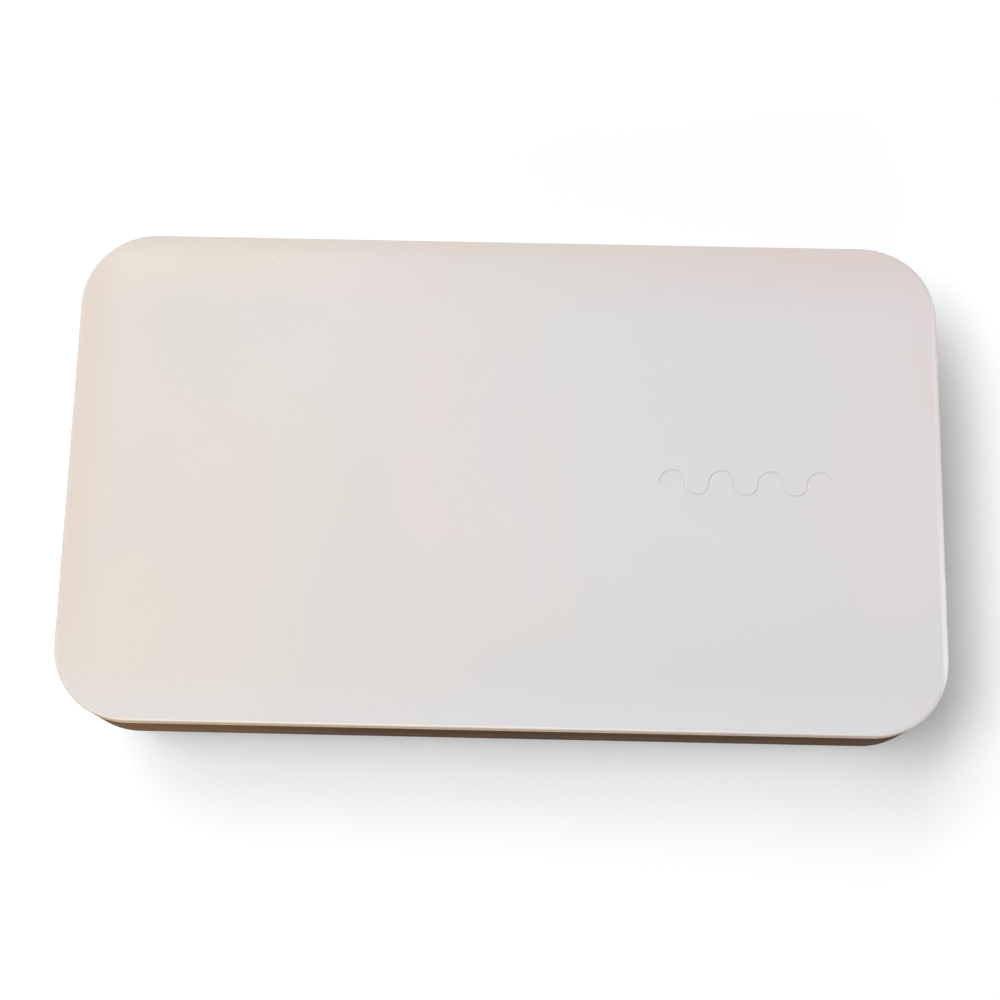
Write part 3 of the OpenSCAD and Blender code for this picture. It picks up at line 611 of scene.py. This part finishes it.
def loft(data, rings, closed=False, slot=0):
    """Joins rings of points, in order; closed joins the last to the first."""
    rows = [[data.verts.new(point) for point in ring] for ring in rings]
    pairs = list(zip(rows, rows[1:]))
    if closed:
        pairs.append((rows[-1], rows[0]))
    count = len(rows[0])
    for low, high in pairs:
        for i in range(count):
            j = (i + 1) % count
            face = data.faces.new((low[i], low[j], high[j], high[i]))
            face.material_index = slot
    return rows


def cap(data, row, slot=0, flip=False):
    """Closes a ring with one face."""
    order = list(reversed(row)) if flip else row
    data.faces.new(order).material_index = slot


def solid(data, rings, slot=0):
    """Joins rings of points and closes both ends."""
    rows = loft(data, rings, slot=slot)
    cap(data, rows[0], slot, flip=True)
    cap(data, rows[-1], slot)


def circle(radius, z, count, centre):
    turn = 2 * math.pi / count
    return [
        Vector((
            centre[0] + radius * math.cos(turn * i),
            centre[1] + radius * math.sin(turn * i),
            z,
        ))
        for i in range(count)
    ]


def rounded_square(half, radius, z, count, centre):
    """Points of a rounded square, each at the same angle as a circle's."""
    corner = half - radius
    points = []
    for i in range(count):
        angle = 2 * math.pi * i / count
        direction = Vector((math.cos(angle), math.sin(angle)))
        spot = direction * (half / max(abs(direction.x), abs(direction.y)))
        if abs(spot.x) > corner and abs(spot.y) > corner:
            middle = Vector((math.copysign(corner, spot.x), math.copysign(corner, spot.y)))
            along = direction.dot(middle)
            off = middle.length_squared - radius * radius
            spot = direction * (along + math.sqrt(max(along * along - off, 0)))
        points.append(Vector((centre[0] + spot.x, centre[1] + spot.y, z)))
    return points


def rounded_path(half_w, half_d, radius, centre_y):
    """Points and outward directions round a rounded rectangle."""
    steps = 16
    path = []
    for corner in range(4):
        sx = 1 if corner in (0, 3) else -1
        sy = 1 if corner < 2 else -1
        middle = Vector((sx * (half_w - radius), sy * (half_d - radius) + centre_y, 0))
        for i in range(steps + 1):
            angle = math.pi / 2 * (corner + i / steps)
            out = Vector((math.cos(angle), math.sin(angle), 0))
            path.append((middle + out * radius, out))
    return path


# Pieces made here

def lamp_spots(node):
    """The six places of the lamps, from the box of their solids."""
    lo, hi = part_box(node)
    half = LAMP_SIZE / 2
    return [
        (x, y)
        for x in (lo.x + half, (lo.x + hi.x) / 2, hi.x - half)
        for y in (lo.y + half, hi.y - half)
    ]


def lamp_packages(name, node, body, facing):
    """Ceramic packages with a gold cup and a chip; facing is 1 up, -1 down."""
    half = LAMP_SIZE / 2
    corner = 0.2 * MM
    bevel = 0.12 * MM
    rim = 1.42 * MM
    rim_wide = 0.06 * MM
    rim_deep = 0.08 * MM
    cup = 0.95 * MM
    cup_deep = 0.72 * MM
    chip = 0.52 * MM
    chip_corner = 0.05 * MM
    chip_bevel = 0.03 * MM
    chip_top_corner = 0.04 * MM
    chip_sunk = 0.05 * MM
    chip_h = 0.16 * MM
    chip_front = cup_deep - chip_h
    round_count = 40
    chip_count = 24
    lo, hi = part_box(node)
    front, back = (hi.z, lo.z) if facing > 0 else (lo.z, hi.z)

    def behind(depth):
        """Height of a point that far behind the lamps' front."""
        return front - facing * depth

    data = bmesh.new()
    for spot in lamp_spots(node):
        rows = loft(data, [
            rounded_square(half, corner, back, round_count, spot),
            rounded_square(half, corner, behind(bevel), round_count, spot),
            rounded_square(half - bevel, corner, front, round_count, spot),
            circle(rim, front, round_count, spot),
        ])
        cap(data, rows[0], flip=True)
        rows = loft(data, [
            circle(rim, front, round_count, spot),
            circle(rim - rim_wide, behind(rim_deep), round_count, spot),
            circle(cup, behind(cup_deep), round_count, spot),
        ], slot=1)
        cap(data, rows[-1], 1)
        solid(data, [
            rounded_square(chip, chip_corner, behind(cup_deep + chip_sunk), chip_count, spot),
            rounded_square(chip, chip_corner, behind(chip_front + chip_bevel), chip_count, spot),
            rounded_square(chip - chip_bevel, chip_top_corner, behind(chip_front), chip_count, spot),
        ], slot=2)
    bmesh.ops.remove_doubles(data, verts=data.verts, dist=0.001 * MM)
    bmesh.ops.recalc_face_normals(data, faces=data.faces)
    item = piece(name, data, ceramic, gold, chip_finish)
    smooth(item, 40)
    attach(item, body)
    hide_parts(node)


def seal():
    """Soft gasket bead with a crowned face, swept round the chamber."""
    lo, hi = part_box("lid_seal")
    wide = 2.1 * MM
    half = wide / 2
    corner = 10.1 * MM
    crown = (hi.z - lo.z) * 0.62
    steps = 14
    profile = [(-half, hi.z)]
    for i in range(steps + 1):
        angle = math.pi * i / steps
        profile.append((-half * math.cos(angle), lo.z + crown * (1 - math.sin(angle))))
    profile.append((half, hi.z))
    path = rounded_path(hi.x - half, (hi.y - lo.y) / 2 - half, corner, (lo.y + hi.y) / 2)
    rings = [[p + out * u + Vector((0, 0, z)) for u, z in profile] for p, out in path]
    data = bmesh.new()
    loft(data, rings, closed=True)
    bmesh.ops.recalc_face_normals(data, faces=data.faces)
    item = piece("seal_bead", data, rubber)
    smooth(item, 50)
    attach(item, "lid")
    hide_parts("lid_seal")


def feet():
    """Rubber feet with a rounded rim and two grooves in the tread."""
    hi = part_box("feet")[1]
    radius = 8 * MM
    rim = 0.5 * MM
    rim_steps = 6
    face_in = 0.3 * MM
    face_out = 2.6 * MM
    grooves = (3.0 * MM, 5.2 * MM)
    groove_deep = 0.35 * MM
    groove_mouth = 0.35 * MM
    groove_bottom = 0.2 * MM
    count = 72
    profile = [(face_in, 0), (face_out, 0)]
    for ring in grooves:
        profile += [
            (ring - groove_mouth, 0),
            (ring - groove_bottom, groove_deep),
            (ring + groove_bottom, groove_deep),
            (ring + groove_mouth, 0),
        ]
    for i in range(rim_steps + 1):
        angle = math.pi / 2 * i / rim_steps
        profile.append((radius - rim + rim * math.sin(angle), rim - rim * math.cos(angle)))
    profile.append((radius, hi.z))
    data = bmesh.new()
    for sx in (-1, 1):
        for sy in (-1, 1):
            centre = (sx * (hi.x - radius), sy * (hi.y - radius))
            solid(data, [circle(r, z, count, centre) for r, z in profile])
    bmesh.ops.recalc_face_normals(data, faces=data.faces)
    item = piece("feet_treads", data, rubber)
    smooth(item, 40)
    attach(item, "base")
    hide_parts("feet")


def rack_welds():
    """Small weld beads where the rack's bars cross its rails."""
    lo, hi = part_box("phone_rack")
    rod_r = 1.2 * MM
    bars = 8
    past_bar = 5 * MM
    past_rail = 6 * MM
    bar_z = hi.z - rod_r
    rail_z = bar_z - 1.6 * rod_r
    beside = 0.72 * rod_r
    bead = Matrix.Diagonal((0.5 * MM, 1.0 * MM, 0.62 * MM, 1))
    data = bmesh.new()
    for i in range(bars):
        bar_x = (i / (bars - 1) * 2 - 1) * (hi.x - past_bar)
        for rail_y in (lo.y + rod_r + past_rail, hi.y - rod_r - past_rail):
            for side in (-1, 1):
                at = Vector((bar_x + side * beside, rail_y, (rail_z + bar_z) / 2))
                place = Matrix.Translation(at) @ bead
                bmesh.ops.create_icosphere(data, subdivisions=2, radius=1, matrix=place)
    item = piece("rack_welds", data, wire)
    smooth(item, 60)
    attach(item, "base")


def socket_contacts():
    """Two rows of gold contacts on the socket's tongue."""
    lo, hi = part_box("usb_tongue")
    count = 12
    pitch = 0.5 * MM
    half = 0.14 * MM
    near_y = hi.y - 0.35 * MM
    far_y = hi.y - 3.4 * MM
    sunk = 0.02 * MM
    rise = 0.05 * MM
    bevel = 0.04 * MM
    levels = ((0, -sunk), (0, rise * 0.6), (bevel, rise))
    data = bmesh.new()
    for i in range(count):
        x = (i - (count - 1) / 2) * pitch
        for face_z, up in ((hi.z, 1), (lo.z, -1)):
            solid(data, [
                [
                    Vector((x - half + inset, near_y - inset, face_z + up * height)),
                    Vector((x + half - inset, near_y - inset, face_z + up * height)),
                    Vector((x + half - inset, far_y + inset, face_z + up * height)),
                    Vector((x - half + inset, far_y + inset, face_z + up * height)),
                ]
                for inset, height in levels
            ])
    bmesh.ops.recalc_face_normals(data, faces=data.faces)
    item = piece("socket_contacts", data, gold)
    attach(item, "base")


rubber = dark_rubber()
gold = lamp_gold()
ceramic = lamp_ceramic()
chip_finish = lamp_chip()
steel = metal("steel_parts", srgb(186, 187, 190), srgb(150, 150, 154), 0.22, 0.42, (1, 1, 0.3))
wire = metal("rack_wire", srgb(206, 208, 211), srgb(182, 184, 188), 0.12, 0.28, (0.2, 0.2, 1))
nickel = metal("plated_magnet", srgb(200, 196, 188), srgb(170, 166, 158), 0.1, 0.25, (1, 1, 1))
board_white = board_mask("lamp_board", srgb(222, 222, 216), srgb(204, 198, 178))
board_green = board_mask("main_board", srgb(22, 74, 44), srgb(52, 104, 62))
dark = dark_plastic()
inner = inner_white()
sheet = bright_sheet()
shell = shell_white()
window = clear_window()
sleeve = dark_sleeve()

FINISHES = {
    "lid_cover": lid_white(),
    "lid_band": band_brown("lid_band_brown", srgb(150, 113, 81), srgb(106, 84, 67), 0.46),
    "base_band": band_brown("base_band_brown", srgb(146, 120, 96), srgb(112, 93, 80), 0.48),
    "lid_hinge_arm": band_brown("hinge_brown", srgb(120, 94, 72), srgb(98, 78, 62), 0.5),
    "base_shell": shell,
    "power_button": shell,
    "lid_frame": inner,
    "base_deck": inner,
    "lid_liner": sheet,
    "chamber_tray": sheet,
    "bumper_pads": rubber,
    "lid_lead": sleeve,
    "base_leads": sleeve,
    "lid_lenses": window,
    "base_lenses": window,
    "lid_lamp_board": board_white,
    "base_lamp_board": board_white,
    "main_board": board_green,
    "switch_board": board_green,
    "board_chips": dark,
    "usb_tongue": dark,
    "button_switch": dark,
    "lid_sensor": dark,
    "button_plunger": dark,
    "status_light": light_pipe(),
    "lid_magnets": nickel,
    "lid_sensor_magnet": nickel,
    "lid_screws": steel,
    "deck_screws": steel,
    "catch_plates": steel,
    "hinge_pin": steel,
    "hinge_tube": steel,
    "usb_socket": steel,
    "phone_rack": wire,
    "rating_label": plain_label(),
}
for node_name, finish in FINISHES.items():
    node_materials = nodes[node_name].data.materials
    for index in range(len(node_materials)):
        node_materials[index] = finish

lamp_packages("lid_lamp_packages", "lid_lamps", "lid", -1)
lamp_packages("base_lamp_packages", "base_lamps", "base", 1)
seal()
feet()
rack_welds()
socket_contacts()


# Floor, light and camera

def floor():
    """A plain pale floor. What the camera sees of it turns plain white
    well away from the part."""
    data = bmesh.new()
    bmesh.ops.create_grid(data, x_segments=24, y_segments=24, size=FLOOR_REACH)
    material = bpy.data.materials.new("floor_paper")
    material.use_nodes = True
    g = Graph(material.node_tree, "OutputMaterial")
    lit = g.add("BsdfDiffuse", {"Color": FLOOR_LIT}).outputs[0]
    seen = g.add("BsdfDiffuse", {"Color": FLOOR_SEEN}).outputs[0]
    white = g.add("Emission", {"Color": WHITE}).outputs[0]
    place = g.add("TexCoord").outputs["Object"]
    away = g.add("VectorMath", {0: place}, operation="LENGTH").outputs["Value"]
    paper = g.blend(g.span(away, FADE_START, FADE_END), seen, white)
    g.put(g.surface, g.blend(g.seen_directly(), lit, paper))
    piece("floor", data, material)


def surroundings():
    """White all round: dim as a light, full where it is seen."""
    world = bpy.data.worlds.new("studio")
    bpy.context.scene.world = world
    world.use_nodes = True
    g = Graph(world.node_tree, "OutputWorld")
    dim = g.add("Background", {"Color": WHITE, "Strength": SURROUNDINGS}).outputs[0]
    full = g.add("Background", {"Color": WHITE, "Strength": 1.0}).outputs[0]
    g.put(g.surface, g.blend(g.seen_directly(), dim, full))


def soft_light(name, azimuth, elevation, distance, radius, level,
               colour=(1.0, 1.0, 1.0), mirrored=False):
    """A round soft light aimed at the part. Level is the share of full
    light that it gives a flat floor, where full light shows a colour as
    it is written. Mirrored lights show in glossy surfaces."""
    azimuth = math.radians(azimuth)
    elevation = math.radians(elevation)
    direction = Vector((
        math.cos(elevation) * math.cos(azimuth),
        math.cos(elevation) * math.sin(azimuth),
        math.sin(elevation),
    ))
    lamp = bpy.data.lights.new(name, "AREA")
    lamp.shape = "DISK"
    lamp.size = 2 * radius
    lamp.energy = level * math.pi ** 2 * distance ** 2 / math.sin(elevation)
    lamp.color = colour
    item = bpy.data.objects.new(name, lamp)
    bpy.context.scene.collection.objects.link(item)
    item.location = direction * distance
    item.rotation_euler = direction.to_track_quat("Z", "Y").to_euler()
    item.visible_glossy = mirrored


floor()
surroundings()
soft_light("far_light", azimuth=140, elevation=62, distance=3.0, radius=0.9, level=0.31)
soft_light("back_light", azimuth=98, elevation=46, distance=3.0, radius=0.5, level=0.06)
soft_light("side_light", azimuth=191, elevation=66, distance=3.0, radius=0.62, level=0.36)
soft_light("front_light", azimuth=270, elevation=32, distance=1.5, radius=0.35, level=0.075,
           colour=(1.0, 0.98, 0.95), mirrored=True)
soft_light("right_light", azimuth=0, elevation=16, distance=1.5, radius=0.3, level=0.028,
           mirrored=True)

camera_data = bpy.data.cameras.new("camera")
camera_data.lens = CAMERA_LENS
camera_data.sensor_width = CAMERA_SENSOR
camera_data.clip_start = CAMERA_CLIP
camera = bpy.data.objects.new("camera", camera_data)
camera.location = CAMERA_PLACE
camera.rotation_euler = CAMERA_TURN
bpy.context.scene.collection.objects.link(camera)
bpy.context.scene.camera = camera
bpy.context.scene.view_settings.view_transform = "Standard"
